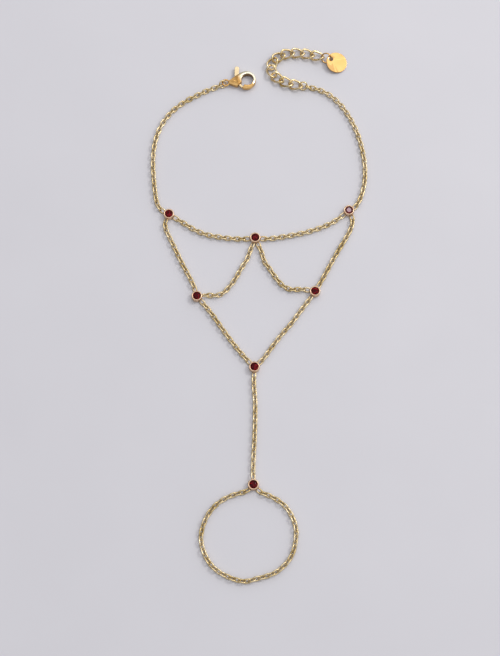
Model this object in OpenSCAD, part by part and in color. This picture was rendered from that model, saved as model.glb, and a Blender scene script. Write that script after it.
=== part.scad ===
/* [Hand] */
// Between the two settings at the wrist
wrist_w = 46.6; // [44:0.2:50]
// From the line of the wrist settings down to the setting at the finger
hand_l = 71.1; // [67:0.1:76]
// From the line of the wrist settings up to the ends of the wrist chains
loop_l = 36.6; // [34:0.2:40]
// Across the finger loop, between the middles of its chain
finger_d = 22.4; // [19:0.2:25]

/* [Fine chain] */
// Wire of the fine links
wire_d = 0.37; // [0.33:0.01:0.38]
// Width of a fine link over its wire
link_w = 1.5; // [1.46:0.01:1.56]
// Length of chain that each fine link makes
link_pitch = 1.22; // [1.16:0.02:1.28]
// Free play between two fine links
link_play = 0.18; // [0.16:0.01:0.2]

/* [Settings] */
// Outer diameter of a bezel setting
setting_d = 2.7; // [2.66:0.02:2.9]
// Metal under the point of the stone
base_t = 0.2; // [0.15:0.01:0.3]
// Width of the bezel's rim over the stone's edge
lip_w = 0.08; // [0.06:0.01:0.1]
// Clearance between a stone and its setting
seat_play = 0.06; // [0.05:0.01:0.08]
// Depth that a soldered link sits in the setting's wall
solder_depth = 0.25; // [0.2:0.01:0.3]

/* [Stones] */
// Diameter of a stone
stone_d = 2.14; // [1.94:0.02:2.18]
// Depth of the pavilion, from the girdle to the point
pavilion_h = 0.82; // [0.7:0.02:0.9]
// Height of the girdle
girdle_h = 0.08; // [0.05:0.01:0.12]
// Height of the crown, from the girdle to the table
crown_h = 0.3; // [0.24:0.02:0.34]
// Share of the diameter that the table takes
table_share = 0.56; // [0.5:0.01:0.62]

/* [Extender] */
// Wire of the extender's links
ext_wire_d = 0.6; // [0.54:0.01:0.62]
// Width of an extender link over its wire
ext_link_w = 3.05; // [2.95:0.05:3.2]
// Length of chain that each extender link makes
ext_pitch = 2.7; // [2.6:0.02:2.8]
// Free play between two extender links
ext_play = 0.36; // [0.34:0.01:0.4]
// Diameter of the disc at the extender's end
tag_d = 5.6; // [5:0.1:6.5]
// Thickness of the disc
tag_t = 0.35; // [0.3:0.05:0.4]
// Hole in the disc
tag_hole_d = 1.2; // [1.15:0.05:1.4]
// Metal between that hole and the disc's edge
tag_rim_w = 0.4; // [0.35:0.05:0.6]

/* [Jump rings] */
// Outer diameter of the jump ring at the clasp
ring_d = 2.2; // [2.1:0.05:2.4]
// Outer diameter of the jump ring at the extender
ext_ring_d = 2.5; // [2.4:0.05:2.7]
// Wire of these two jump rings
ring_wire_d = 0.36; // [0.32:0.01:0.38]
// Outer diameter of the jump ring that holds the disc
tag_ring_d = 3; // [2.9:0.05:3.1]
// Wire of that ring
tag_ring_wire_d = 0.36; // [0.32:0.01:0.38]
// Clearance between a jump ring and what it passes through
thread_gap = 0.17; // [0.15:0.01:0.2]
// How far the extender's first link has slid into its ring
ext_slack = 0.3; // [0.2:0.05:0.35]

/* [Clasp] */
// Thickness of the clasp
clasp_t = 1.5; // [1.4:0.05:1.8]
// From the middle of the eyelet to the middle of the hook
hook_reach = 5.45; // [5.3:0.05:6]
// Outer diameter of the hook
hook_d = 5.2; // [5.1:0.05:5.4]
// Opening of the hook
hook_hole_d = 3.2; // [3:0.05:3.3]
// Outer diameter of the eyelet
eyelet_d = 2.2; // [2.1:0.02:2.4]
// Wire of the eyelet
eyelet_wire_d = 0.48; // [0.42:0.01:0.5]
// From the middle of the eyelet to the middle of the jump ring's wire in it
eyelet_slack = 0.02; // [0:0.01:0.05]
// Width of the neck between the eyelet and the hook
neck_w = 0.86; // [0.8:0.02:1]
// Thickness of the lever
lever_t = 0.6; // [0.5:0.05:0.65]
// Clearance on each side of the lever in its slot
slot_play = 0.1; // [0.08:0.01:0.12]
// Pin that the lever turns on
pin_d = 0.6; // [0.5:0.05:0.65]
// Radial clearance of the lever on its pin
pivot_play = 0.06; // [0.04:0.01:0.08]
// Radial clearance of the pin in the clasp's cheeks
pin_seat_play = 0.025; // [0.02:0.005:0.04]
// Width of the lever's gate
gate_w = 0.6; // [0.5:0.05:0.7]
// Clearance between the gate's end and the hook's tip
gate_gap = 0.08; // [0.07:0.01:0.1]
// Length of the thumb tab from the pin
tab_l = 4.5; // [4.2:0.05:4.6]
// Width of the thumb tab at its end
tab_w = 1.25; // [1.1:0.05:1.35]
// How far the lever turns open, in degrees
lever_travel = 40; // [30:1:42]

/* [Hidden] */
gold = [0.86, 0.66, 0.33];
clasp_gold = [0.88, 0.63, 0.27];
garnet = [0.42, 0.03, 0.06];

// Places on the table, as shares of wrist_w to the right and of hand_l below the wrist line.
// The two chain ends above that line are shares of wrist_w and of loop_l.
SETTINGS = [
  ["wrist_left", -0.5, 0.007],
  ["middle", -0.021, 0.099],
  ["wrist_right", 0.5, -0.007],
  ["side_left", -0.339, 0.321],
  ["side_right", 0.305, 0.303],
  ["lower", -0.026, 0.583],
  ["finger", -0.032, 1]
];
CHAIN_ENDS = [
  ["clasp_end", -0.218, 0.996],
  ["extender_end", 0.272, 0.987]
];

// The runs of fine chain as they lie: name, from, to, and the bow between the two as points with
// their share of the straight line along it and their share of that line to its left.
RUNS = [
  ["left_wrist_chain", "clasp_end", "wrist_left",
    [[0.07, -0.077], [0.14, -0.142], [0.21, -0.198], [0.29, -0.243], [0.38, -0.27], [0.47, -0.278],
      [0.58, -0.264], [0.69, -0.23], [0.8, -0.182], [0.89, -0.138], [0.95, -0.102], [0.985, -0.062]]],
  ["right_wrist_chain", "wrist_right", "extender_end",
    [[0.015, -0.05], [0.05, -0.092], [0.12, -0.143], [0.2, -0.183], [0.32, -0.219], [0.45, -0.237],
      [0.58, -0.238], [0.7, -0.222], [0.8, -0.191], [0.88, -0.149], [0.94, -0.095], [0.975, -0.045]]],
  ["left_front_chain", "wrist_left", "middle",
    [[0.08, -0.018], [0.21, -0.058], [0.33, -0.093], [0.47, -0.109], [0.62, -0.097], [0.82, -0.061],
      [0.93, -0.026]]],
  ["right_front_chain", "middle", "wrist_right",
    [[0.13, -0.045], [0.33, -0.075], [0.54, -0.092], [0.73, -0.081], [0.83, -0.062], [0.93, -0.026]]],
  ["left_side_chain", "wrist_left", "side_left",
    [[0.06, -0.058], [0.12, -0.082], [0.2, -0.08], [0.3, -0.068], [0.42, -0.055], [0.61, -0.032],
      [0.88, 0.006]]],
  ["right_side_chain", "wrist_right", "side_right",
    [[0.06, 0.062], [0.12, 0.088], [0.2, 0.094], [0.31, 0.084], [0.45, 0.064], [0.61, 0.045],
      [0.88, 0.018]]],
  ["left_swag_chain", "middle", "side_left",
    [[0.17, 0.071], [0.26, 0.112], [0.41, 0.144], [0.54, 0.18], [0.69, 0.197], [0.76, 0.196], [0.81, 0.177],
      [0.85, 0.141], [0.89, 0.094], [0.935, 0.044]]],
  ["right_swag_chain", "middle", "side_right",
    [[0.18, -0.076], [0.3, -0.146], [0.38, -0.16], [0.54, -0.198], [0.65, -0.212], [0.76, -0.188],
      [0.84, -0.11], [0.91, -0.05]]],
  ["left_lower_chain", "side_left", "lower",
    [[0.1, 0.006], [0.25, 0.007], [0.5, -0.009], [0.74, -0.016], [0.9, -0.009]]],
  ["right_lower_chain", "side_right", "lower",
    [[0.1, 0.005], [0.25, 0.008], [0.4, 0.015], [0.56, 0.008], [0.73, 0.011], [0.89, 0.017]]],
  ["drop_chain", "lower", "finger",
    [[0.14, -0.003], [0.3, 0.009], [0.6, 0.007], [0.85, -0.003]]],
  ["finger_chain", "finger", "finger", []]
];

// The finger loop: its middle from the finger's setting, and points by angle and by distance from
// that middle, all distances as shares of finger_d.
FINGER_MIDDLE = [-0.052, -0.552];
FINGER_LOOP = [
  [92, 0.486], [107, 0.472], [121, 0.476], [135, 0.484], [150, 0.492], [164, 0.499], [180, 0.511],
  [195, 0.511], [218, 0.507], [241, 0.49], [266, 0.486], [280, 0.464], [295, 0.471], [310, 0.489],
  [334, 0.508], [360, 0.512], [376, 0.516], [399, 0.509], [422, 0.49], [434, 0.487]
];

// The extender's chain from its first joint, in shares of ext_pitch.
EXTENDER = [
  [0, 0], [-0.98, 0.2], [-1.88, 0.54], [-2.66, 1.08], [-3.04, 1.9], [-2.74, 2.77], [-1.93, 3.4],
  [-0.9, 3.62], [0.16, 3.6], [1.18, 3.38], [2.14, 3.11]
];

// Directions on the table, in degrees from the right
clasp_yaw = 3;
clasp_aim = 30;
extender_aim = 174;
tag_aim = -14;
tag_turn = -29;

link_l = link_pitch + 2 * wire_d + link_play;
link_bend_r = (link_w - wire_d) / 2;
link_lean = 45;
chain_z = link_bend_r * sin(link_lean) + wire_d / 2;
// From a joint to the middle of the wire that crosses it
link_over = (link_l - link_pitch - wire_d) / 2;
ext_link_l = ext_pitch + 2 * ext_wire_d + ext_play;
ext_link_over = (ext_link_l - ext_pitch - ext_wire_d) / 2;
ext_lean = 45;
ext_rings = 16;
ext_sides = 6;
ext_bend_r = (ext_link_w - ext_wire_d) / 2;
ext_axis_l = ext_link_l - ext_wire_d;
function ext_twist(x) = -ext_lean * 2 * x / ext_axis_l;
// The twisted link rests on the lowest point of its bend
ext_low = max([for (a = [0:5:90]) let (x = (ext_axis_l - 2 * ext_bend_r) / 2 + ext_bend_r * sin(a))
  -ext_bend_r * cos(a) * sin(ext_twist(x))]);
ext_z = ext_low + ext_wire_d / 2;

ring_r = (ring_d - ring_wire_d) / 2;
ext_ring_r = (ext_ring_d - ring_wire_d) / 2;
tag_ring_r = (tag_ring_d - tag_ring_wire_d) / 2;
ring_lean = 45;
tag_ring_lean = 50;
ring_z = ring_r * sin(ring_lean) + ring_wire_d / 2;
ext_ring_z = ext_ring_r * sin(ring_lean) + ring_wire_d / 2;
tag_ring_z = tag_ring_r * sin(tag_ring_lean) + tag_ring_wire_d / 2;

setting_r = setting_d / 2;
stone_r = stone_d / 2;
open_r = stone_r - lip_w;
rim_w = setting_r - open_r;
pavilion_slope = pavilion_h / stone_r;
table_r = stone_r * table_share;
crown_slope = crown_h / (stone_r - table_r);
culet_z = base_t + seat_play / cos(atan(pavilion_slope));
girdle_low_z = culet_z + pavilion_h;
girdle_top_z = girdle_low_z + girdle_h;
table_z = girdle_top_z + crown_h;
bore_r = stone_r + seat_play;
lip_rise = seat_play / cos(atan(crown_slope));
rim_z = girdle_top_z + (stone_r - open_r) * crown_slope + lip_rise;
foot_chamfer = setting_d * 0.046;
facet_count = 8;
// Where the crown's and the pavilion's side corners stand, as shares of the stone's radius
crown_corner = 0.78;
pavilion_corner = 0.3;

round_fn = 32;
wire_fn = 24;
curve_steps = 12;
tube_sides = 8;
tube_ring_step = 4 * chain_z;
tube_gap = 0.4 * wire_d;

// The wrist line's middle from the frame's middle. The finger loop reaches lowest and the extender
// highest: shares of finger_d, loop_l and ext_pitch, less what the links' widths add, of link_w.
finger_reach = 1.04;
loop_reach = 0.987;
ext_reach = 3.64;
width_rest = 0.36;
lay_y = (hand_l + finger_reach * finger_d - loop_reach * loop_l - ext_reach * ext_pitch) / 2;
lay = [0, lay_y - width_rest * link_w];

function polar(r, a) = [r * cos(a), r * sin(a)];
function left_of(v) = [-v[1], v[0]];
function lift(p, z) = [p[0], p[1], z];
function row(table, name) = table[search([name], table)[0]];
function is_setting(name) = search([name], SETTINGS)[0] != [];
function setting_at(name) = let (p = row(SETTINGS, name)) lay + [p[1] * wrist_w, -p[2] * hand_l];
function chain_end_at(name) = let (p = row(CHAIN_ENDS, name)) lay + [p[1] * wrist_w, p[2] * loop_l];
function end_at(name) = is_setting(name) ? setting_at(name) : chain_end_at(name);
function end_z(name) = is_setting(name) ? chain_z : name == "clasp_end" ? ring_z : ext_ring_z;
function end_cut(name) = is_setting(name) ? setting_r - solder_depth + (link_l - link_pitch) / 2 : 0;

function bowed(a, b, bow) = [a, for (p = bow) a + p[0] * (b - a) + p[1] * left_of(b - a), b];
function finger_points() = let (c = setting_at("finger"), m = c + finger_d * FINGER_MIDDLE)
  [c, for (p = FINGER_LOOP) m + polar(p[1] * finger_d, p[0]), c];
function run_points(r) = r[1] == r[2] ? finger_points() : bowed(end_at(r[1]), end_at(r[2]), r[3]);

// A point between p[1] and p[2] on the smooth curve through the four points p
function between(p, u) =
  let (
    t1 = sqrt(norm(p[1] - p[0])),
    t2 = t1 + sqrt(norm(p[2] - p[1])),
    t3 = t2 + sqrt(norm(p[3] - p[2])),
    t = t1 + (t2 - t1) * u,
    a1 = p[0] * (t1 - t) / t1 + p[1] * t / t1,
    a2 = (p[1] * (t2 - t) + p[2] * (t - t1)) / (t2 - t1),
    a3 = (p[2] * (t3 - t) + p[3] * (t - t2)) / (t3 - t2),
    b1 = (a1 * (t2 - t) + a2 * t) / t2,
    b2 = (a2 * (t3 - t) + a3 * (t - t1)) / (t3 - t1)
  ) (b1 * (t2 - t) + b2 * (t - t1)) / (t2 - t1);
function smooth(pts) =
  let (
    n = len(pts),
    q = [2 * pts[0] - pts[1], each pts, 2 * pts[n - 1] - pts[n - 2]]
  ) [for (k = [1:n - 1]) for (j = [0:curve_steps - 1])
      between([q[k - 1], q[k], q[k + 1], q[k + 2]], j / curve_steps), pts[n - 1]];
function travelled(c) =
  [for (i = 0, s = 0; i < len(c); i = i + 1, s = i < len(c) ? s + norm(c[i] - c[i - 1]) : s) s];
function at_travel(c, s, d) = [
  lookup(d, [for (i = [0:len(c) - 1]) [s[i], c[i][0]]]),
  lookup(d, [for (i = [0:len(c) - 1]) [s[i], c[i][1]]])
];
// Points at equal steps along the curve through pts, from one cut to the other
function stepped(pts, cut_a, cut_b, step) =
  let (
    c = smooth(pts),
    s = travelled(c),
    l = s[len(s) - 1] - cut_a - cut_b,
    n = round(l / step)
  ) [for (i = [0:n]) at_travel(c, s, cut_a + l * i / n)];

// The joints of a run of fine chain, which rise to the jump ring at a free end
function run_joints(r) =
  let (
    p = stepped(run_points(r), end_cut(r[1]), end_cut(r[2]), link_pitch),
    n = len(p) - 1
  ) [for (i = [0:n]) lift(p[i], i == 0 ? end_z(r[1]) : i == n ? end_z(r[2]) : chain_z)];

module on_line(a, b, roll) {
  d = b - a;
  translate((a + b) / 2)
    rotate([0, -atan2(d[2], norm([d[0], d[1]])), atan2(d[1], d[0])])
      rotate([roll, 0, 0]) children();
}

module fine_link() {
  straight = link_l - link_w;
  for (turn = [0, 180]) rotate([0, 0, turn]) {
    translate([straight / 2, 0, 0])
      rotate_extrude(angle = 180, start = -90, $fn = round_fn)
        translate([link_bend_r, 0]) circle(d = wire_d, $fn = wire_fn);
    translate([-straight / 2, link_bend_r, 0])
      rotate([0, 90, 0]) cylinder(d = wire_d, h = straight, $fn = wire_fn);
  }
}

// The links lean left and right in turn, counted from a free end so that the last one crosses its ring
module run_link(r, i) {
  joints = run_joints(r);
  turn = is_setting(r[2]) ? i : i + len(joints);
  on_line(joints[i], joints[i + 1], turn % 2 == 0 ? link_lean : -link_lean) fine_link();
}

// The loose links of a run, without those that are soldered to a setting
module run(name) {
  r = row(RUNS, name);
  first = is_setting(r[1]) ? 1 : 0;
  last = len(run_joints(r)) - (is_setting(r[2]) ? 3 : 2);
  color(gold) for (i = [first:last]) run_link(r, i);
}

module cup() {
  rim_r = rim_w / 2;
  wall = [
    [0, 0], [setting_r - foot_chamfer, 0], [setting_r, foot_chamfer],
    for (a = [0:22.5:180]) [setting_r - rim_r, rim_z] + polar(rim_r, a),
    [open_r, rim_z - lip_rise / 4],
    [bore_r, rim_z - (bore_r - open_r) * crown_slope],
    [bore_r, base_t + bore_r * pavilion_slope],
    [0, base_t]
  ];
  rotate_extrude($fn = 48) polygon(wall);
}

module setting(name) {
  color(gold) {
    translate(lift(setting_at(name), 0)) cup();
    for (r = RUNS) {
      if (r[1] == name) run_link(r, 0);
      if (r[2] == name) run_link(r, len(run_joints(r)) - 2);
    }
  }
}

// A brilliant: rings of corners from the point up to the table
module stone(name) {
  n = facet_count;
  half = 180 / n;
  side_z = function (r, r0, z0, r1, z1) z0 + (r * cos(half) - r0) * (z1 - z0) / (r1 - r0);
  ring = function (r, z, count, a0) [for (i = [0:count - 1]) lift(polar(r, a0 + i * 360 / count), z)];
  nr = stone_r * pavilion_corner;
  mr = stone_r * crown_corner;
  points = [
    each ring(table_r, table_z, n, 0),
    each ring(mr, side_z(mr, table_r, table_z, stone_r, girdle_top_z), n, half),
    each ring(stone_r, girdle_top_z, 2 * n, 0),
    each ring(stone_r, girdle_low_z, 2 * n, 0),
    each ring(nr, side_z(nr, 0, culet_z, stone_r, girdle_low_z), n, half),
    [0, 0, culet_z]
  ];
  t = function (i) i % n;
  m = function (i) n + i % n;
  g = function (i) 2 * n + i % (2 * n);
  h = function (i) 4 * n + i % (2 * n);
  p = function (i) 6 * n + i % n;
  faces = [
    [for (i = [n - 1:-1:0]) t(i)],
    for (i = [0:n - 1]) [t(i), t(i + 1), m(i)],
    for (i = [0:n - 1]) [t(i), m(i), g(2 * i), m(i + n - 1)],
    for (i = [0:n - 1]) [m(i), g(2 * i + 1), g(2 * i)],
    for (i = [0:n - 1]) [m(i), g(2 * i + 2), g(2 * i + 1)],
    for (i = [0:2 * n - 1]) [g(i), g(i + 1), h(i + 1), h(i)],
    for (i = [0:n - 1]) [h(2 * i), h(2 * i + 1), p(i)],
    for (i = [0:n - 1]) [h(2 * i + 1), h(2 * i + 2), p(i)],
    for (i = [0:n - 1]) [h(2 * i), p(i), 7 * n, p(i + n - 1)]
  ];
  color(garnet) translate(lift(setting_at(name), 0)) polyhedron(points, faces);
}

// A closed skin over rings of points, with a flat end at each end unless it joins up
module skin(rings, closed) {
  n = len(rings);
  k = len(rings[0]);
  last = closed ? n - 1 : n - 2;
  polyhedron(
    [for (r = rings) each r],
    [
      for (i = [0:last]) for (j = [0:k - 1]) let (a = i * k, b = (i + 1) % n * k, j1 = (j + 1) % k)
        each [[a + j, a + j1, b + j1], [a + j, b + j1, b + j]],
      if (!closed) [for (j = [k - 1:-1:0]) j],
      if (!closed) [for (j = [0:k - 1]) (n - 1) * k + j]
    ]
  );
}

// The finger loop as one round tube of the chain's width, between its two soldered links
module finger_chain() {
  r = row(RUNS, "finger_chain");
  clear = end_cut(r[1]) + link_pitch + link_over + wire_d / 2 + tube_gap;
  mids = stepped(finger_points(), clear, clear, tube_ring_step);
  n = len(mids);
  corner_r = chain_z / cos(180 / tube_sides);
  rings = [
    for (i = [0:n - 1]) let (
      d = mids[min(i + 1, n - 1)] - mids[max(i - 1, 0)],
      side = left_of(d) / norm(d)
    ) [for (j = [0:tube_sides - 1]) let (q = polar(corner_r, -(j + 0.5) * 360 / tube_sides))
      lift(mids[i] + q[0] * side, chain_z + q[1])]
  ];
  color(gold) skin(rings, false);
}

// A curb link: an oval of wire, flat in its middle and turned one way at one end and the other way at
// the other
module ext_link() {
  straight = ext_axis_l - 2 * ext_bend_r;
  ends = ext_rings / 2 - 1;
  twisted = function (p) [
    p[0],
    p[1] * cos(ext_twist(p[0])) - p[2] * sin(ext_twist(p[0])),
    p[1] * sin(ext_twist(p[0])) + p[2] * cos(ext_twist(p[0]))
  ];
  wire_ring = function (mid, out) [for (j = [0:ext_sides - 1])
    let (q = polar(ext_wire_d / 2, (j + 0.5) * 360 / ext_sides)) twisted(lift(mid + q[0] * out, q[1]))];
  skin([
    for (side = [1, -1]) each [
      for (i = [0:ends - 1]) let (out = side * polar(1, -90 + i * 180 / (ends - 1)))
        wire_ring([side * straight / 2, 0] + ext_bend_r * out, out),
      let (out = [0, side]) wire_ring(ext_bend_r * out, out)
    ]
  ], true);
}

function ext_joints() =
  let (
    p = stepped(ext_pitch * EXTENDER, 0, 0, ext_pitch),
    n = len(p) - 1,
    start = ext_start()
  ) [for (i = [0:n]) lift(start + p[i], i == n ? tag_ring_z : ext_z)];

module extender_chain() {
  joints = ext_joints();
  color(gold) for (i = [0:len(joints) - 2]) on_line(joints[i], joints[i + 1], 0) ext_link();
}

// The middle of a jump ring, from a joint of the chain that it passes through
function ring_from(joint, aim, over, wire, r, ring_wire) =
  joint + polar(over - (wire + ring_wire) / 2 - thread_gap + r, aim);
function clasp_ring_at() = ring_from(end_at("clasp_end"), clasp_aim, link_over, wire_d, ring_r, ring_wire_d);
function extender_ring_at() =
  ring_from(end_at("extender_end"), extender_aim, link_over, wire_d, ext_ring_r, ring_wire_d);
function ext_start() = let (over = ext_link_over - (ext_wire_d + ring_wire_d) / 2 - thread_gap)
  extender_ring_at() + polar(over + ext_ring_r - ext_slack, extender_aim);
function eyelet_at() = clasp_ring_at() + polar(ring_r + eyelet_slack, clasp_aim);
function ext_end() = let (j = ext_joints(), p = j[len(j) - 1]) [p[0], p[1]];
function tag_ring_at() =
  ring_from(ext_end(), tag_aim, ext_link_over, ext_wire_d, tag_ring_r, tag_ring_wire_d);

module jump_ring(mid, z, aim, lean, d, wire) {
  color(gold) translate(lift(mid, z)) rotate([0, 0, aim]) rotate([lean, 0, 0])
    rotate_extrude($fn = round_fn) translate([(d - wire) / 2, 0]) circle(d = wire, $fn = wire_fn);
}

module clasp_ring() {
  jump_ring(clasp_ring_at(), ring_z, clasp_aim, ring_lean, ring_d, ring_wire_d);
}

module extender_ring() {
  jump_ring(extender_ring_at(), ext_ring_z, extender_aim, -ring_lean, ext_ring_d, ring_wire_d);
}

module tag_ring() {
  jump_ring(tag_ring_at(), tag_ring_z, tag_aim, tag_ring_lean, tag_ring_d, tag_ring_wire_d);
}

// The disc lies on its far edge, with its hole held up by its jump ring
module tag() {
  hole_inset = tag_hole_d * 0.08;
  hole_x = tag_d / 2 - tag_rim_w - tag_hole_d / 2;
  tag_tilt = asin((tag_ring_z - tag_t / 2) / (tag_d / 2 + hole_x));
  hole_at = tag_ring_at() + polar(tag_ring_r - hole_inset, tag_aim);
  color(gold)
    translate(lift(hole_at, tag_d / 2 * sin(tag_tilt)))
      rotate([0, 0, tag_turn]) translate([hole_x * cos(tag_tilt), 0, 0]) rotate([0, tag_tilt, 0])
        difference() {
          cylinder(d = tag_d, h = tag_t, $fn = 64);
          translate([-hole_x, 0, -tag_t]) cylinder(d = tag_hole_d, h = 3 * tag_t, $fn = round_fn);
        }
}

// The clasp's own frame: x from the eyelet's middle to the hook, y to the thumb tab's side
hook_r = hook_d / 2;
hook_hole_r = hook_hole_d / 2;
hook_at = [hook_reach, hook_d * 0.077];
hook_hole_at = hook_at + hook_d * [0.077, 0.004];
pivot_at = hook_at - hook_d * [0.529, 0.058];
// The neck runs a little into the eyelet, and is thinner than the hook
neck_x = (eyelet_d - eyelet_wire_d) / 2;
neck_t = clasp_t * 0.6;
neck_flare = hook_d * 0.1;
hook_edge = hook_d * 0.048;
tip_angle = 238;
tip_dir = polar(1, tip_angle);
tip_in = hook_hole_at + hook_hole_r * tip_dir;
gate_angle = -45;
tab_angle = 83;
tip_run = tip_in - pivot_at;
gate_l = abs(tip_run[0] * tip_dir[1] - tip_run[1] * tip_dir[0]) - gate_gap;
// From the pin to the cheeks' cut end, and how far that cut runs to each side
cheek_l = hook_d * 0.244;
cheek_cut_in = hook_d * 0.27;
cheek_cut_out = hook_d * 0.385;
boss_d = pin_d * 2.17;
tab_root_w = tab_w * 0.68;
slot_t = lever_t + 2 * slot_play;
// How far the slot's room runs past the cheeks, and past the middle of each swept angle
slot_past = hook_d * 0.115;
gate_room = 1.1;
tab_room = 1.2;
pin_inset = clasp_t * 0.07;
cut_over = hook_d * 0.1;

module in_clasp() {
  translate(lift(eyelet_at(), 0)) rotate([0, 0, clasp_yaw]) children();
}

module from_pivot(angle) {
  translate(lift(pivot_at, 0)) rotate([0, 0, angle]) children();
}

// Where a line from p touches the hook's outer circle, on its left (1) or right (-1) side
function touch(p, side) =
  let (
    d = hook_at - p,
    a = atan2(d[1], d[0]) + side * asin(hook_r / norm(d)),
    l = sqrt(norm(d) * norm(d) - hook_r * hook_r)
  ) p + polar(l, a);

module clasp_blank() {
  neck = [neck_x, neck_w / 2];
  foot = [neck_x, -neck_w / 2];
  mid_h = clasp_t - 2 * hook_edge;
  translate(lift(hook_at, 0)) {
    cylinder(r1 = hook_r - hook_edge, r2 = hook_r, h = hook_edge, $fn = 64);
    translate([0, 0, hook_edge]) cylinder(r = hook_r, h = mid_h, $fn = 64);
    translate([0, 0, clasp_t - hook_edge])
      cylinder(r1 = hook_r, r2 = hook_r - hook_edge, h = hook_edge, $fn = 64);
  }
  intersection() {
    linear_extrude(clasp_t) polygon([foot, touch(foot, -1), hook_at, touch(neck, 1), neck]);
    rotate([90, 0, 0]) linear_extrude(4 * hook_r, center = true) polygon([
      [neck_x, (clasp_t - neck_t) / 2], [pivot_at[0] + neck_flare, 0], [hook_at[0], 0],
      [hook_at[0], clasp_t], [pivot_at[0] + neck_flare, clasp_t], [neck_x, (clasp_t + neck_t) / 2]
    ]);
  }
}

module clasp_body() {
  cheek = pivot_at + polar(cheek_l, gate_angle);
  cheek_dir = left_of(polar(1, gate_angle));
  mouth = [
    cheek + cheek_cut_in * cheek_dir, cheek - cheek_cut_out * cheek_dir,
    tip_in + (hook_r + cut_over) * tip_dir, tip_in - cut_over * tip_dir
  ];
  sweep_r = cheek_l + slot_past;
  tab_half = tab_root_w / 2 + slot_play;
  color(clasp_gold) in_clasp() {
    translate([0, 0, clasp_t / 2]) rotate_extrude($fn = 48)
      translate([(eyelet_d - eyelet_wire_d) / 2, 0]) circle(d = eyelet_wire_d, $fn = wire_fn);
    difference() {
      clasp_blank();
      translate(lift(hook_hole_at, 0)) {
        translate([0, 0, -cut_over]) cylinder(r = hook_hole_r, h = clasp_t + 2 * cut_over, $fn = 64);
        cylinder(r1 = hook_hole_r + hook_edge / 2, r2 = hook_hole_r, h = hook_edge / 2, $fn = 64);
        translate([0, 0, clasp_t - hook_edge / 2])
          cylinder(r1 = hook_hole_r, r2 = hook_hole_r + hook_edge / 2, h = hook_edge / 2, $fn = 64);
      }
      translate([0, 0, -cut_over]) linear_extrude(clasp_t + 2 * cut_over) polygon(mouth);
      translate([0, 0, (clasp_t - slot_t) / 2]) {
        translate(lift(pivot_at, 0)) cylinder(d = boss_d + 2 * slot_play, h = slot_t, $fn = round_fn);
        // Room for the gate, closed and open
        from_pivot(gate_angle) linear_extrude(slot_t) polygon([
          [0, -gate_w / 2 - slot_play], [sweep_r, -gate_w / 2 - slot_play],
          sweep_r * polar(gate_room, lever_travel / 2),
          polar(sweep_r, lever_travel) + polar(gate_w / 2 + slot_play, lever_travel + 90),
          polar(gate_w / 2 + slot_play, lever_travel + 90)
        ]);
        // Room for the thumb tab
        from_pivot(tab_angle) linear_extrude(slot_t) polygon([
          [0, -tab_half], [hook_r, -tab_half - slot_play], hook_r * polar(tab_room, lever_travel / 2),
          polar(hook_r, lever_travel) + polar(tab_half + slot_play, lever_travel + 90),
          polar(tab_half, lever_travel + 90)
        ]);
      }
      translate(lift(pivot_at, -cut_over))
        cylinder(r = pin_d / 2 + pin_seat_play, h = clasp_t + 2 * cut_over, $fn = round_fn);
    }
  }
}

module clasp_lever() {
  tab_end = tab_l - tab_w / 2;
  color(clasp_gold) in_clasp() translate([0, 0, (clasp_t - lever_t) / 2]) difference() {
    union() {
      translate(lift(pivot_at, 0)) cylinder(d = boss_d, h = lever_t, $fn = round_fn);
      intersection() {
        from_pivot(gate_angle) translate([0, -gate_w / 2, 0]) cube([2 * gate_l, gate_w, lever_t]);
        translate(lift(pivot_at, 0)) cylinder(r = gate_l, h = lever_t, $fn = 64);
      }
      from_pivot(tab_angle) {
        linear_extrude(lever_t) polygon([
          [0, -tab_root_w / 2], [tab_end, -tab_w / 2], [tab_end, tab_w / 2], [0, tab_root_w / 2]
        ]);
        translate([tab_end, 0, 0]) cylinder(d = tab_w, h = lever_t, $fn = round_fn);
      }
    }
    translate(lift(pivot_at, -lever_t))
      cylinder(r = pin_d / 2 + pivot_play, h = 3 * lever_t, $fn = round_fn);
  }
}

module clasp_pin() {
  color(clasp_gold) in_clasp() translate(lift(pivot_at, pin_inset))
    cylinder(d = pin_d, h = clasp_t - 2 * pin_inset, $fn = round_fn);
}

clasp_body();
clasp_lever();
clasp_pin();
clasp_ring();
run("left_wrist_chain");  // left_wrist_chain
run("right_wrist_chain");  // right_wrist_chain
run("left_front_chain");  // left_front_chain
run("right_front_chain");  // right_front_chain
run("left_side_chain");  // left_side_chain
run("right_side_chain");  // right_side_chain
run("left_swag_chain");  // left_swag_chain
run("right_swag_chain");  // right_swag_chain
run("left_lower_chain");  // left_lower_chain
run("right_lower_chain");  // right_lower_chain
run("drop_chain");  // drop_chain
finger_chain();
extender_chain();
extender_ring();
tag_ring();
tag();
setting("wrist_left");  // wrist_left_setting
setting("middle");  // middle_setting
setting("wrist_right");  // wrist_right_setting
setting("side_left");  // side_left_setting
setting("side_right");  // side_right_setting
setting("lower");  // lower_setting
setting("finger");  // finger_setting
stone("wrist_left");  // wrist_left_stone
stone("middle");  // middle_stone
stone("wrist_right");  // wrist_right_stone
stone("side_left");  // side_left_stone
stone("side_right");  // side_right_stone
stone("lower");  // lower_stone
stone("finger");  // finger_stone
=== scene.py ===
"""Looks of a hand chain bracelet: fine gold chains, red stones in bezels, a clasp and an extender."""

import sys
import logging
import math
from dataclasses import dataclass
from enum import Enum

import bpy
from mathutils import Matrix, Vector


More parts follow.
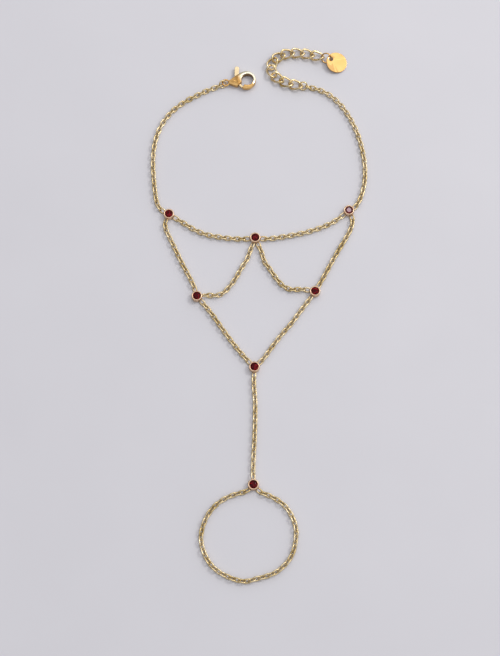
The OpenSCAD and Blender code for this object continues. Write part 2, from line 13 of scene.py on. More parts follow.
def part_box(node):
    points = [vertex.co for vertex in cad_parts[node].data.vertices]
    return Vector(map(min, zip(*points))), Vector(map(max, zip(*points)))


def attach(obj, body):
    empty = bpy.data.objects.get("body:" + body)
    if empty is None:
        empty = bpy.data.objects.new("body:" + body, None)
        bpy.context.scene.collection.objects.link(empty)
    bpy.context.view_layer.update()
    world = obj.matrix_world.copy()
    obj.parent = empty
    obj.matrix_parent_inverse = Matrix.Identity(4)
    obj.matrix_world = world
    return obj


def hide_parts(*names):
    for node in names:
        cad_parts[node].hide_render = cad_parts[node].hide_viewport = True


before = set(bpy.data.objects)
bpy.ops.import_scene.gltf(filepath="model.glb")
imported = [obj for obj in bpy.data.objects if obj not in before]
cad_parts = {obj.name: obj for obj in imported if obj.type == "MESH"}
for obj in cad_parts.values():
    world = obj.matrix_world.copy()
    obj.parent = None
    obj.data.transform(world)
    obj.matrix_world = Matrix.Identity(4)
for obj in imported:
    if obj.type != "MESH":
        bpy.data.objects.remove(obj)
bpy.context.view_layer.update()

LOG = logging.getLogger("bracelet")
MM = 0.001
SAME_CORNER_MM = 0.0005
BRACELET = "bracelet"
LEVER = "lever"
Colour = tuple[float, float, float]
Place = tuple[float, float, float]
Spot = tuple[float, float]
Span = tuple[float, float]


class Grain(Enum):
    """What the fine marks on a metal look like: their stretch along X, Y and Z."""

    POLISHED = (1.0, 1.0, 1.0)
    BRUSHED = (1.0, 9.0, 1.0)


def only(obj: bpy.types.Object) -> None:
    """Selects one object alone and makes it the active one.

    Args:
        obj: The object to select.
    """
    bpy.ops.object.select_all(action="DESELECT")
    obj.select_set(True)
    bpy.context.view_layer.objects.active = obj


def pick_corners(obj: bpy.types.Object, low_x: float, high_x: float) -> None:
    """Selects the mesh corners between two values of X and enters edit mode.

    Args:
        obj: The object whose mesh is picked from.
        low_x: Lowest X of a picked corner, in metres.
        high_x: Highest X of a picked corner, in metres.
    """
    only(obj)
    bpy.ops.object.mode_set(mode="EDIT")
    bpy.ops.mesh.select_mode(type="VERT")
    bpy.ops.mesh.select_all(action="DESELECT")
    bpy.ops.object.mode_set(mode="OBJECT")
    for corner in obj.data.vertices:
        corner.select = low_x <= corner.co.x <= high_x
    bpy.ops.object.mode_set(mode="EDIT")


def apply_modifiers(obj: bpy.types.Object) -> None:
    """Applies every modifier of an object in order.

    Args:
        obj: The object that carries them.
    """
    only(obj)
    for name in [m.name for m in obj.modifiers]:
        bpy.ops.object.modifier_apply(modifier=name)


def resize(obj: bpy.types.Object, times: float) -> None:
    """Scales a piece's mesh about the frame's middle.

    Args:
        obj: The piece, whose object stays unscaled.
        times: How many times its size it becomes.
    """
    only(obj)
    obj.scale = (times, times, times)
    bpy.ops.object.transform_apply(location=False, rotation=False, scale=True)


def join_copies(model: bpy.types.Object, places: list[Matrix], name: str) -> bpy.types.Object:
    """Copies a modelled piece to several places and joins the copies into one piece.

    Args:
        model: The piece that was modelled once, at the origin. It is removed.
        places: Where each copy goes.
        name: Name of the joined piece.

    Returns:
        The joined piece, at the origin, with its places in its mesh.
    """
    copies = []
    for place in places:
        copy = model.copy()
        copy.data = model.data.copy()
        copy.data.transform(place)
        bpy.context.scene.collection.objects.link(copy)
        copies.append(copy)
    bpy.data.objects.remove(model)
    only(copies[0])
    for copy in copies:
        copy.select_set(True)
    bpy.ops.object.join()
    joined = bpy.context.view_layer.objects.active
    joined.name = name
    return joined


def dress(obj: bpy.types.Object, material: bpy.types.Material) -> None:
    """Gives a piece one material all over.

    Args:
        obj: The piece.
        material: Its material.
    """
    obj.data.materials.clear()
    obj.data.materials.append(material)
    for face in obj.data.polygons:
        face.material_index = 0


@dataclass(frozen=True)
class GoldFinish:
    """A gold plating: its colour, how smooth it is and its fine marks."""

    name: str
    bright: Colour
    deep: Colour
    smooth: float
    rough: float
    marks: float
    grain: Grain = Grain.POLISHED
    grain_turn: float = 0.0
    patch_scale: float = 260.0
    patch_detail: float = 2.0
    patch_span: Span = (0.32, 0.62)
    mark_scale: float = 2600.0
    mark_detail: float = 3.0
    mark_span: Span = (0.3, 0.7)
    mark_depth_mm: float = 0.02

    def material(self) -> bpy.types.Material:
        """Builds the node material.

        Returns:
            The material, with patches of colour, uneven gloss and fine marks in relief.
        """
        made = bpy.data.materials.new(self.name)
        made.use_nodes = True
        tree = made.node_tree
        shader = tree.nodes["Principled BSDF"]
        shader.inputs["Metallic"].default_value = 1.0
        place = tree.nodes.new("ShaderNodeTexCoord")
        turned = tree.nodes.new("ShaderNodeMapping")
        turned.inputs["Rotation"].default_value = (0.0, 0.0, math.radians(self.grain_turn))
        turned.inputs["Scale"].default_value = self.grain.value
        tree.links.new(place.outputs["Object"], turned.inputs["Vector"])
        tree.links.new(self._tint(tree, place.outputs["Object"]), shader.inputs["Base Color"])
        marks = tree.nodes.new("ShaderNodeTexNoise")
        marks.inputs["Scale"].default_value = self.mark_scale
        marks.inputs["Detail"].default_value = self.mark_detail
        tree.links.new(turned.outputs["Vector"], marks.inputs["Vector"])
        gloss = tree.nodes.new("ShaderNodeMapRange")
        gloss.inputs["From Min"].default_value = self.mark_span[0]
        gloss.inputs["From Max"].default_value = self.mark_span[1]
        gloss.inputs["To Min"].default_value = self.smooth
        gloss.inputs["To Max"].default_value = self.rough
        tree.links.new(marks.outputs["Fac"], gloss.inputs["Value"])
        tree.links.new(gloss.outputs["Result"], shader.inputs["Roughness"])
        relief = tree.nodes.new("ShaderNodeBump")
        relief.inputs["Strength"].default_value = self.marks
        relief.inputs["Distance"].default_value = self.mark_depth_mm * MM
        tree.links.new(marks.outputs["Fac"], relief.inputs["Height"])
        tree.links.new(relief.outputs["Normal"], shader.inputs["Normal"])
        return made

    def _tint(self, tree: bpy.types.NodeTree, place: bpy.types.NodeSocket) -> bpy.types.NodeSocket:
        """Adds the plating's colour, in soft patches of bright and deep.

        Args:
            tree: The material's nodes.
            place: Where the place on the piece comes from.

        Returns:
            Where the colour comes out.
        """
        patches = tree.nodes.new("ShaderNodeTexNoise")
        patches.inputs["Scale"].default_value = self.patch_scale
        patches.inputs["Detail"].default_value = self.patch_detail
        tree.links.new(place, patches.inputs["Vector"])
        tint = tree.nodes.new("ShaderNodeValToRGB")
        for end, at, colour in zip(tint.color_ramp.elements, self.patch_span, (self.deep, self.bright)):
            end.position = at
            end.color = (*colour, 1.0)
        tree.links.new(patches.outputs["Fac"], tint.inputs["Fac"])
        return tint.outputs["Color"]


@dataclass(frozen=True)
class Fade:
    """A colour round one spot, in millimetres: full up to one distance from it, and gone at the next."""

    colour: Colour
    spot: Place
    full_to: float
    gone_at: float

    def lay(
        self, tree: bpy.types.NodeTree, place: bpy.types.NodeSocket, under: bpy.types.NodeSocket
    ) -> bpy.types.NodeSocket:
        """Lays the colour over another.

        Args:
            tree: The material's nodes.
            place: Where the place on the piece comes from.
            under: Where the other colour comes from.

        Returns:
            Where the mixed colour comes out.
        """
        away = tree.nodes.new("ShaderNodeVectorMath")
        away.operation = "DISTANCE"
        away.inputs[1].default_value = Vector(self.spot) * MM
        tree.links.new(place, away.inputs[0])
        share = tree.nodes.new("ShaderNodeMapRange")
        share.inputs["From Min"].default_value = self.full_to * MM
        share.inputs["From Max"].default_value = self.gone_at * MM
        share.inputs["To Min"].default_value = 1.0
        share.inputs["To Max"].default_value = 0.0
        tree.links.new(away.outputs["Value"], share.inputs["Value"])
        mixed = tree.nodes.new("ShaderNodeMix")
        mixed.data_type = "RGBA"
        ends = {socket.identifier: socket for socket in [*mixed.inputs, *mixed.outputs]}
        tree.links.new(share.outputs["Result"], ends["Factor_Float"])
        tree.links.new(under, ends["A_Color"])
        ends["B_Color"].default_value = (*self.colour, 1.0)
        return ends["Result_Color"]


@dataclass(frozen=True)
class SpotTintedGold(GoldFinish):
    """A gold plating with colours laid round spots: on a setting the cup's own tone, on the clasp a painted
    highlight and a painted shade.
    """

    fades: tuple[Fade, ...] = ()

    def _tint(self, tree: bpy.types.NodeTree, place: bpy.types.NodeSocket) -> bpy.types.NodeSocket:
        """Lays the fades over the plating's patches.

        Args:
            tree: The material's nodes.
            place: Where the place on the piece comes from.

        Returns:
            Where the colour comes out.
        """
        colour = super()._tint(tree, place)
        for fade in self.fades:
            colour = fade.lay(tree, place, colour)
        return colour


@dataclass(frozen=True)
class GarnetFinish:
    """A cut red stone: near black, with red glints painted into its colour where light would come back from
    inside.
    """

    name: str = "garnet"
    gloss: float = 0.05
    # glint and red are painted light from inside the stone; dark is its own near-black colour.
    glint: Colour = (0.22, 0.005, 0.009)
    red: Colour = (0.09, 0.002, 0.004)
    dark: Colour = (0.035, 0.001, 0.002)
    refraction: float = 1.77
    glint_scale: float = 2300.0
    dark_to: float = 0.25
    red_at: float = 0.62
    glint_from: float = 0.95
    polish_span: Span = (0.02, 0.07)

    def material(self) -> bpy.types.Material:
        """Builds the node material.

        Returns:
            The material of the stones.
        """
        made = bpy.data.materials.new(self.name)
        made.use_nodes = True
        tree = made.node_tree
        shader = tree.nodes["Principled BSDF"]
        shader.inputs["IOR"].default_value = self.refraction
        shader.inputs["Specular IOR Level"].default_value = self.gloss
        place = tree.nodes.new("ShaderNodeTexCoord")
        # Painted reflections from inside: cells of the colour are lifted from near black to red and bright
        # red, as if light came back from facets.
        inside = tree.nodes.new("ShaderNodeTexVoronoi")
        inside.inputs["Scale"].default_value = self.glint_scale
        tree.links.new(place.outputs["Object"], inside.inputs["Vector"])
        shade = tree.nodes.new("ShaderNodeSeparateColor")
        tree.links.new(inside.outputs["Color"], shade.inputs["Color"])
        tint = tree.nodes.new("ShaderNodeValToRGB")
        ramp = tint.color_ramp
        ramp.elements[0].position = self.dark_to
        ramp.elements[0].color = (*self.dark, 1.0)
        ramp.elements[1].position = self.glint_from
        ramp.elements[1].color = (*self.glint, 1.0)
        ramp.elements.new(self.red_at).color = (*self.red, 1.0)
        tree.links.new(shade.outputs["Red"], tint.inputs["Fac"])
        tree.links.new(tint.outputs["Color"], shader.inputs["Base Color"])
        polish = tree.nodes.new("ShaderNodeMapRange")
        polish.inputs["To Min"].default_value = self.polish_span[0]
        polish.inputs["To Max"].default_value = self.polish_span[1]
        tree.links.new(shade.outputs["Green"], polish.inputs["Value"])
        tree.links.new(polish.outputs["Result"], shader.inputs["Roughness"])
        return made


@dataclass(frozen=True)
class Route:
    """A smooth curve on the table through chosen points, in millimetres."""

    points: tuple[Spot, ...]
    steps_between: int = 12

    def curve(self) -> list[Vector]:
        """Works out close points on the smooth curve.

        Returns:
            The points, the first and last of them the chosen ends.
        """
        spots = [Vector(p) for p in self.points]
        spots = [2 * spots[0] - spots[1], *spots, 2 * spots[-1] - spots[-2]]
        line = []
        for k in range(1, len(spots) - 2):
            for step in range(self.steps_between):
                line.append(self._between(spots[k - 1 : k + 3], step / self.steps_between))
        return [*line, spots[-2]]

    @staticmethod
    def _between(p: list[Vector], share: float) -> Vector:
        """Finds a point between the second and third of four points.

        Args:
            p: Four points that the curve follows.
            share: How far between the middle two, from 0 to 1.

        Returns:
            The point on the curve.
        """
        t1 = math.sqrt((p[1] - p[0]).length)
        t2 = t1 + math.sqrt((p[2] - p[1]).length)
        t3 = t2 + math.sqrt((p[3] - p[2]).length)
        t = t1 + (t2 - t1) * share
        a1 = p[0] * ((t1 - t) / t1) + p[1] * (t / t1)
        a2 = (p[1] * (t2 - t) + p[2] * (t - t1)) / (t2 - t1)
        a3 = (p[2] * (t3 - t) + p[3] * (t - t2)) / (t3 - t2)
        b1 = (a1 * (t2 - t) + a2 * t) / t2
        b2 = (a2 * (t3 - t) + a3 * (t - t1)) / (t3 - t1)
        return (b1 * (t2 - t) + b2 * (t - t1)) / (t2 - t1)

    def joints(self, cut: float, pitch: float) -> list[Vector]:
        """Steps along the curve.

        Args:
            cut: Length left out at each end.
            pitch: About how long each step is.

        Returns:
            Points at equal steps between the cuts.
        """
        line = self.curve()
        travel = [0.0]
        for a, b in zip(line, line[1:]):
            travel.append(travel[-1] + (b - a).length)
        length = travel[-1] - 2 * cut
        count = round(length / pitch)
        found = []
        k = 0
        for i in range(count + 1):
            at = cut + length * i / count
            while k < len(line) - 2 and travel[k + 1] < at:
                k += 1
            share = (at - travel[k]) / (travel[k + 1] - travel[k])
            found.append(line[k].lerp(line[k + 1], share))
        return found


def along(a: Vector, b: Vector, roll: float) -> Matrix:
    """Places a piece that was modelled along X between two points.

    Args:
        a: The point at its start, in millimetres.
        b: The point at its end, in millimetres.
        roll: How far it turns about its own length, in degrees.

    Returns:
        The place, in metres.
    """
    run = b - a
    level = math.hypot(run.x, run.y)
    return (
        Matrix.Translation((a + b) / 2 * MM)
        @ Matrix.Rotation(math.atan2(run.y, run.x), 4, "Z")
        @ Matrix.Rotation(-math.atan2(run.z, level), 4, "Y")
        @ Matrix.Rotation(math.radians(roll), 4, "X")
    )


@dataclass(frozen=True)
class OvalLink:
    """An oval link of round wire, in millimetres, lying flat with its length along X.

    A curb link's two ends are twisted against each other, here by twist in degrees.
    """

    length: float
    width: float
    wire: float
    bends: int
    sides: int
    twist: float = 0.0
    middle_clear: float = 0.001

    def model(self, name: str) -> bpy.types.Object:
        """Models the link as a ring of wire whose halves are drawn apart.

        Args:
            name: Name of the new object.

        Returns:
            The link, at the origin.
        """
        radius = (self.width - self.wire) / 2
        bpy.ops.object.select_all(action="DESELECT")
        bpy.ops.mesh.primitive_torus_add(
            major_segments=self.bends,
            minor_segments=self.sides,
            major_radius=radius * MM,
            minor_radius=self.wire / 2 * MM,
        )
        link = bpy.context.view_layer.objects.active
        link.name = name
        reach = self.width * MM
        half = (self.length - self.width) / 2 * MM
        nick = self.middle_clear * MM
        for low, high, shift in ((nick, reach, half), (-reach, -nick, -half)):
            pick_corners(link, low, high)
            bpy.ops.transform.translate(value=(shift, 0.0, 0.0))
            bpy.ops.object.mode_set(mode="OBJECT")
        only(link)
        bpy.ops.object.shade_smooth()
        if self.twist:
            turned = link.modifiers.new("twist", "SIMPLE_DEFORM")
            turned.deform_method = "TWIST"
            turned.deform_axis = "X"
            turned.angle = math.radians(self.twist)
            apply_modifiers(link)
        return link


@dataclass(frozen=True)
class FingerLoop:
    """The loop of fine chain that goes round the finger, link by link."""

    setting: Spot = (-1.4912, -47.4181)
    middle: Spot = (-2.656, -59.7829)
    across: float = 22.4
    pitch: float = 1.22
    cut: float = 1.56
    height: float = 0.5845
    lean: float = 45.0
    link: OvalLink = OvalLink(length=2.14, width=1.5, wire=0.37, bends=22, sides=10)
    spots: tuple[Spot, ...] = (
        (92, 0.486), (107, 0.472), (121, 0.476), (135, 0.484), (150, 0.492), (164, 0.499), (180, 0.511),
        (195, 0.511), (218, 0.507), (241, 0.49), (266, 0.486), (280, 0.464), (295, 0.471), (310, 0.489),
        (334, 0.508), (360, 0.512), (376, 0.516), (399, 0.509), (422, 0.49), (434, 0.487),
    )

    def route(self) -> Route:
        """Lays the route from the setting round the finger and back to it."""
        round_it = []
        for angle, share in self.spots:
            turn = math.radians(angle)
            away = share * self.across
            x = self.middle[0] + away * math.cos(turn)
            y = self.middle[1] + away * math.sin(turn)
            round_it.append((x, y))
        return Route((self.setting, *round_it, self.setting))

    def build(self, material: bpy.types.Material) -> bpy.types.Object:
        """Builds the loose links, which lean left and right in turn.

        Args:
            material: The chain's gold.

        Returns:
            The finished loop.
        """
        joints = [Vector((p.x, p.y, self.height)) for p in self.route().joints(self.cut, self.pitch)]
        places = []
        for i in range(1, len(joints) - 2):
            places.append(along(joints[i], joints[i + 1], self.lean if i % 2 == 0 else -self.lean))
        loop = join_copies(self.link.model("finger_link"), places, "finger_loop_links")
        dress(loop, material)
        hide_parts("finger_chain")
        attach(loop, BRACELET)
        return loop


@dataclass(frozen=True)
class Extender:
    """The extender: larger curb links that lie flat, end in end, in an open hook."""

    start: Spot = (11.2729, 59.9535)
    pitch: float = 2.7
    height: float = 0.84
    last_height: float = 1.1912
    link: OvalLink = OvalLink(length=4.25, width=3.0, wire=0.59, bends=36, sides=12, twist=-104.75)
    spots: tuple[Spot, ...] = (
        (0, 0), (-0.98, 0.2), (-1.88, 0.54), (-2.66, 1.08), (-3.04, 1.9), (-2.74, 2.77), (-1.93, 3.4),
        (-0.9, 3.62), (0.16, 3.6), (1.18, 3.38), (2.14, 3.11),
    )

    def build(self, material: bpy.types.Material) -> bpy.types.Object:
        """Builds the ten links.

        Args:
            material: The chain's gold.

        Returns:
            The finished extender.
        """
        x0, y0 = self.start
        route = Route(tuple((x0 + x * self.pitch, y0 + y * self.pitch) for x, y in self.spots))
        joints = [Vector((p.x, p.y, self.height)) for p in route.joints(0.0, self.pitch)]
        joints[-1].z = self.last_height
        places = [along(a, b, 0.0) for a, b in zip(joints, joints[1:])]
        chain = join_copies(self.link.model("curb_link"), places, "extender_links")
        dress(chain, material)
        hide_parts("extender_chain")
        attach(chain, BRACELET)
        return chain


@dataclass(frozen=True)
class Dome:
    """A flattened ball, in millimetres: one of the two that the clasp's domed outline is drawn over."""

    middle: Place
    radius: float
    half_height: float
    segments: int = 64
    rings: int = 32

    def model(self) -> bpy.types.Object:
        """Models the ball, in millimetres."""
        bpy.ops.object.select_all(action="DESELECT")
        size = (self.radius, self.radius, self.half_height)
        bpy.ops.mesh.primitive_uv_sphere_add(
            segments=self.segments, ring_count=self.rings, location=self.middle, scale=size
        )
        return bpy.context.view_layer.objects.active


@dataclass(frozen=True)
class CastPiece:
    """A cast and polished piece: its CAD form with domed faces and every edge worn round.

    Round the last dome's middle, up to thin_to in millimetres, it is thin and takes only thin_wear
    of the wear, which grows to the whole over wear_over.
    """

    node: str
    name: str
    body: str
    net: float
    passes: int
    domes: tuple[Dome, ...] = ()
    thin_to: float = 0.0
    thin_wear: float = 0.12
    wear_over: float = 0.4

    def build(self, material: bpy.types.Material) -> bpy.types.Object:
        """Builds the piece from a copy of its node.

        Args:
            material: Its gold.

        Returns:
            The finished piece.
        """
        piece = self._copy()
        if self.domes:
            self._trim(piece)
        self._round(piece)
        dress(piece, material)
        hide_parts(self.node)
        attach(piece, self.body)
        return piece

    def _copy(self) -> bpy.types.Object:
        """Copies the node as one joined skin, drawn in millimetres.

        Returns:
            The copy.
        """
        piece = bpy.data.objects.new(self.name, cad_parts[self.node].data.copy())
        bpy.context.scene.collection.objects.link(piece)
        only(piece)
        if piece.data.has_custom_normals:
            bpy.ops.mesh.customdata_custom_splitnormals_clear()
        resize(piece, 1 / MM)
        bpy.ops.object.mode_set(mode="EDIT")
        bpy.ops.mesh.select_all(action="SELECT")
        bpy.ops.mesh.remove_doubles(threshold=SAME_CORNER_MM)
        bpy.ops.object.mode_set(mode="OBJECT")
        return piece

    def _trim(self, piece: bpy.types.Object) -> None:
        """Cuts the flat faces down to a skin drawn tightly over the domes.

        Args:
            piece: The piece, in millimetres.
        """
        balls = [dome.model() for dome in self.domes]
        only(balls[0])
        for ball in balls:
            ball.select_set(True)
        bpy.ops.object.join()
        hull = bpy.context.view_layer.objects.active
        bpy.ops.object.transform_apply(location=True, rotation=True, scale=True)
        bpy.ops.object.mode_set(mode="EDIT")
        bpy.ops.mesh.select_all(action="SELECT")
        bpy.ops.mesh.convex_hull()
        bpy.ops.object.mode_set(mode="OBJECT")
        cut = piece.modifiers.new("dome", "BOOLEAN")
        cut.operation = "INTERSECT"
        cut.solver = "EXACT"
        cut.object = hull
        apply_modifiers(piece)
        bpy.data.objects.remove(hull)

    def _round(self, piece: bpy.types.Object) -> None:
        """Rounds every edge and brings the piece back to metres.

        Args:
            piece: The piece, in millimetres.
        """
        skin = piece.modifiers.new("skin", "REMESH")
        skin.mode = "VOXEL"
        skin.voxel_size = self.net
        apply_modifiers(piece)
        worn = piece.modifiers.new("worn", "SMOOTH")
        worn.iterations = self.passes
        if self.thin_to:
            self._spare_thin_part(piece)
            worn.vertex_group = "worn"
        apply_modifiers(piece)
        resize(piece, MM)
        bpy.ops.object.shade_smooth()

    def _spare_thin_part(self, piece: bpy.types.Object) -> None:
        """Weights the wear, so that a thin ring of wire keeps its thickness.

        Args:
            piece: The piece, in millimetres.
        """
        middle = Vector(self.domes[-1].middle)
        weights = piece.vertex_groups.new(name="worn")
        for corner in piece.data.vertices:
            away = (corner.co - middle).length - self.thin_to
            wear = min(max(away / self.wear_over, self.thin_wear), 1.0)
            weights.add([corner.index], wear, "REPLACE")


@dataclass(frozen=True)
class Metalwork:
    """CAD nodes of one finish that keep their shape, welded and softly shaded."""

    nodes: tuple[str, ...]
    finish: GoldFinish
    crease: float = 40.0
    bevel: float = 0.0
    bevel_steps: int = 3
    level_weight: int = 100

    def build(self) -> bpy.types.Material:
        """Dresses each node and rounds its edges where a bevel is asked for.

        Returns:
            The material of the finish, for pieces that match.
        """
        material = self.finish.material()
        for name in self.nodes:
            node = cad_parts[name]
            dress(node, material)
            self._soften(node)
            LOG.info("%s: %s", name, self.finish.name)
        return material

    def _soften(self, node: bpy.types.Object) -> None:
        """Shades a node as one smooth surface with its true edges left sharp.

        Args:
            node: The CAD node, whose own mesh stays as it is.
        """
        only(node)
        if node.data.has_custom_normals:
            bpy.ops.mesh.customdata_custom_splitnormals_clear()
        for face in node.data.polygons:
            face.use_smooth = True
        weld = node.modifiers.new("weld", "WELD")
        weld.merge_threshold = SAME_CORNER_MM * MM
        if self.bevel:
            edge = node.modifiers.new("edge", "BEVEL")
            edge.width = self.bevel * MM
            edge.segments = self.bevel_steps
            edge.limit_method = "ANGLE"
            edge.angle_limit = math.radians(self.crease)
        split = node.modifiers.new("split", "EDGE_SPLIT")
        split.split_angle = math.radians(self.crease)
        if self.bevel:
            node.modifiers.new("level", "WEIGHTED_NORMAL").weight = self.level_weight


@dataclass(frozen=True)
class Setting:
    """A setting: a cup of rosier gold, and the chain's own gold on the links soldered to it."""

    place: str
    cup: Colour = (0.70, 0.49, 0.33)
    cup_to: float = 1.36
    links_from: float = 1.75

    def build(self) -> None:
        """Dresses the setting, with the cup's colour round its stone."""
        low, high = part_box(f"{self.place}_stone")
        middle = tuple((a + b) / 2 / MM for a, b in zip(low, high))
        chain = CHAIN_GOLD
        finish = SpotTintedGold(
            f"{self.place}_gold", chain.bright, chain.deep, chain.smooth, chain.rough, chain.marks,
            fades=(Fade(self.cup, middle, self.cup_to, self.links_from),),
        )
        Metalwork((f"{self.place}_setting",), finish).build()


@dataclass(frozen=True)
class Stones:
    """Cut stones of one finish, which keep their facets."""

    nodes: tuple[str, ...]
    finish: GarnetFinish

    def build(self) -> None:
        """Dresses each stone and leaves its facets flat."""
        material = self.finish.material()
        for name in self.nodes:
            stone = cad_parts[name]
            dress(stone, material)
            for face in stone.data.polygons:
                face.use_smooth = False
            LOG.info("%s: %s", name, self.finish.name)


@dataclass(frozen=True)
class Lamp:
    """A square soft lamp that hangs round the middle of the table."""

    name: str
    way: Place
    size: float
    power: float
    far: float
    colour: Colour = (1.0, 0.985, 0.96)

    def build(self) -> None:
        """Hangs the lamp, turned to the table's middle."""
        light = bpy.data.lights.new(self.name, "AREA")
        light.energy = self.power
        light.size = self.size
        light.color = self.colour
        holder = bpy.data.objects.new(self.name, light)
        way = Vector(self.way).normalized()
        holder.location = way * self.far
        holder.rotation_euler = way.to_track_quat("Z", "Y").to_euler()
        bpy.context.scene.collection.objects.link(holder)


@dataclass(frozen=True)
class Studio:
    """The pale floor, the soft daylight, the lamps and the camera."""

    target: Vector = Vector((-0.0023, -0.00731, 0.0))
    camera_at: Vector = Vector((-0.0023, -0.10555, 0.32131))
    lens: float = 72.99
    sees_from: float = 0.01
    sees_to: float = 20.0
    floor_size: float = 12.0
    floor_drop: float = 0.00003
    floor_rough: float = 0.75
    floor_shine: float = 0.2
    floor_grain: float = 40.0
    floor_tints: tuple[Colour, Colour] = ((0.60, 0.594, 0.628), (0.63, 0.624, 0.658))
    sky: float = 0.93
    window: Place = (0.3, 0.2, 0.93)
    low_sky: Colour = (0.13, 0.125, 0.12)
    mid_sky: Colour = (1.0, 1.0, 1.03)
    high_sky: Colour = (1.5, 1.49, 1.5)
    low_to: float = 0.1
    mid_span: Span = (0.72, 0.88)
    high_from: float = 0.97
    lamps: tuple[Lamp, ...] = (
        Lamp("key_lamp", way=(1.0, 0.5, 1.2), size=0.18, power=1.4, far=0.75),
        Lamp("window_lamp", way=(0.5, 0.9, 0.7), size=0.5, power=0.45, far=0.5),
        Lamp(
            "glint_lamp", way=(0.074, 0.375, 0.924), size=0.07, power=0.16, far=1.2, colour=(1.0, 0.78, 0.9)
        ),
    )

    def build(self) -> None:
        """Makes the floor, the lights and the camera."""
        self._floor()
        self._sky()
        for lamp in self.lamps:
            lamp.build()
        self._camera()

    def _floor(self) -> None:
        """Lays a plain pale floor just under the bracelet."""
        bpy.ops.object.select_all(action="DESELECT")
        bpy.ops.mesh.primitive_plane_add(size=self.floor_size, location=(0.0, 0.0, -self.floor_drop))
        floor = bpy.context.view_layer.objects.active
        floor.name = "floor"
        made = bpy.data.materials.new("pale_floor")
        made.use_nodes = True
        tree = made.node_tree
        shader = tree.nodes["Principled BSDF"]
        shader.inputs["Roughness"].default_value = self.floor_rough
        shader.inputs["Specular IOR Level"].default_value = self.floor_shine
        place = tree.nodes.new("ShaderNodeTexCoord")
        grain = tree.nodes.new("ShaderNodeTexNoise")
        grain.inputs["Scale"].default_value = self.floor_grain
        tint = tree.nodes.new("ShaderNodeValToRGB")
        for end, colour in zip(tint.color_ramp.elements, self.floor_tints):
            end.color = (*colour, 1.0)
        tree.links.new(place.outputs["Object"], grain.inputs["Vector"])
        tree.links.new(grain.outputs["Fac"], tint.inputs["Fac"])
        tree.links.new(tint.outputs["Color"], shader.inputs["Base Color"])
        dress(floor, made)

    def _sky(self) -> None:
        """Lights the room softly, brightest overhead and a little to the window's side."""
        world = bpy.data.worlds.new("room")
        bpy.context.scene.world = world
        world.use_nodes = True
        tree = world.node_tree
        light = tree.nodes["Background"]
        light.inputs["Strength"].default_value = self.sky
        place = tree.nodes.new("ShaderNodeTexCoord")
        height = tree.nodes.new("ShaderNodeVectorMath")
        height.operation = "DOT_PRODUCT"
        height.inputs[1].default_value = Vector(self.window).normalized()
        ramp = tree.nodes.new("ShaderNodeValToRGB")
        ends = ramp.color_ramp.elements
        ends[0].position = self.low_to
        ends[0].color = (*self.low_sky, 1.0)
        ends[1].position = self.high_from
        ends[1].color = (*self.high_sky, 1.0)
        for at in self.mid_span:
            ends.new(at).color = (*self.mid_sky, 1.0)
        tree.links.new(place.outputs["Generated"], height.inputs[0])
        tree.links.new(height.outputs["Value"], ramp.inputs["Fac"])
        tree.links.new(ramp.outputs["Color"], light.inputs["Color"])

    def _camera(self) -> None:
        """Sets the camera where the photograph was taken from."""
        made = bpy.data.cameras.new("camera")
        made.lens = self.lens
        made.clip_start = self.sees_from
        made.clip_end = self.sees_to
        holder = bpy.data.objects.new("camera", made)
        holder.location = self.camera_at
        holder.rotation_euler = (self.target - self.camera_at).to_track_quat("-Z", "Y").to_euler()
        bpy.context.scene.collection.objects.link(holder)
        bpy.context.scene.camera = holder
        bpy.context.scene.view_settings.view_transform = "Standard"


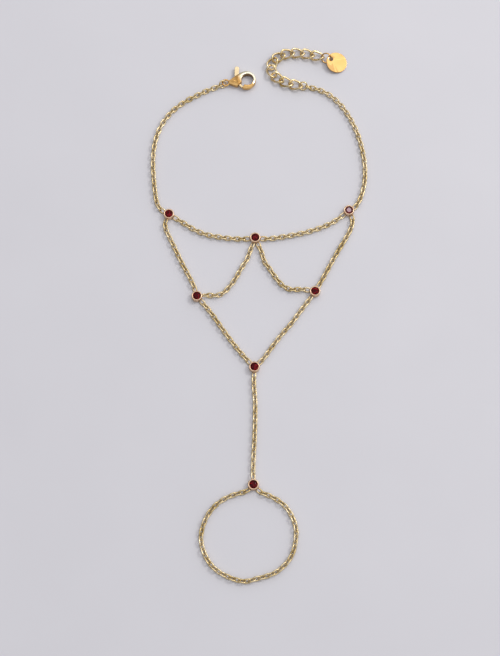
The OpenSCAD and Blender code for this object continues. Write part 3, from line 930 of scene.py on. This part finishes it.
CHAIN_GOLD = GoldFinish("chain_gold", (0.78, 0.645, 0.405), (0.615, 0.47, 0.22), 0.26, 0.40, 0.25)
EXTENDER_GOLD = GoldFinish("extender_gold", (0.90, 0.74, 0.47), (0.71, 0.54, 0.25), 0.16, 0.28, 0.2)
CLASP_GOLD = SpotTintedGold(
    "cast_gold", (0.80, 0.50, 0.19), (0.46, 0.25, 0.075), 0.07, 0.13, 0.06, patch_scale=420.0,
    fades=(
        # Painted highlight: a pale cream round the top of the hook's rim, where it catches the light.
        Fade((1.0, 0.94, 0.72), spot=(-2.6, 63.1, 1.2), full_to=1.7, gone_at=3.1),
        # Painted shade: a dark brown in the hook's opening, where shade falls.
        Fade((0.36, 0.22, 0.10), spot=(-2.95, 61.66, 0.6), full_to=1.7, gone_at=2.05),
    ),
)
LEVER_GOLD = GoldFinish("lever_gold", (0.73, 0.60, 0.38), (0.66, 0.52, 0.30), 0.16, 0.26, 0.1)
TAG_GOLD = GoldFinish(
    "tag_gold", (0.68, 0.41, 0.155), (0.61, 0.355, 0.12), 0.04, 0.08, 0.02, Grain.BRUSHED, grain_turn=30.0
)
CLASP_BODY = CastPiece(
    "clasp_body", "clasp_casting", BRACELET, net=0.038, passes=24,
    domes=(Dome((-3.3516, 61.6206, 0.75), 2.85, 1.0), Dome((-8.7732, 60.9355, 0.75), 1.35, 0.5)),
    thin_to=1.1,
)
CLASP_LEVER = CastPiece("clasp_lever", "clasp_thumb_lever", LEVER, net=0.045, passes=8)
FINE_CHAINS = (
    "left_wrist_chain", "right_wrist_chain", "left_front_chain", "right_front_chain", "left_side_chain",
    "right_side_chain", "left_swag_chain", "right_swag_chain", "left_lower_chain", "right_lower_chain",
    "drop_chain",
)
PLACES = ("wrist_left", "middle", "wrist_right", "side_left", "side_right", "lower", "finger")


def main() -> None:
    """Builds the studio and the bracelet's looks, piece by piece."""
    logging.basicConfig(level=logging.INFO, format="%(message)s", stream=sys.stdout)
    Studio().build()
    LOG.info("the studio is set")
    chain_gold = Metalwork(FINE_CHAINS + ("clasp_ring",), CHAIN_GOLD).build()
    for place in PLACES:
        Setting(place).build()
    Stones(tuple(f"{p}_stone" for p in PLACES if p != "wrist_right"), GarnetFinish()).build()
    Stones(("wrist_right_stone",), GarnetFinish("garnet_in_glint", gloss=0.24)).build()
    extender_gold = Metalwork(("extender_ring",), EXTENDER_GOLD).build()
    clasp_gold = Metalwork(("clasp_pin",), CLASP_GOLD).build()
    Metalwork(("tag", "tag_ring"), TAG_GOLD, bevel=0.06).build()
    made = [
        FingerLoop().build(chain_gold),
        Extender().build(extender_gold),
        CLASP_BODY.build(clasp_gold),
        CLASP_LEVER.build(LEVER_GOLD.material()),
    ]
    for piece in made:
        LOG.info("%s: %d faces", piece.name, len(piece.data.polygons))


if __name__ == "__main__":
    main()
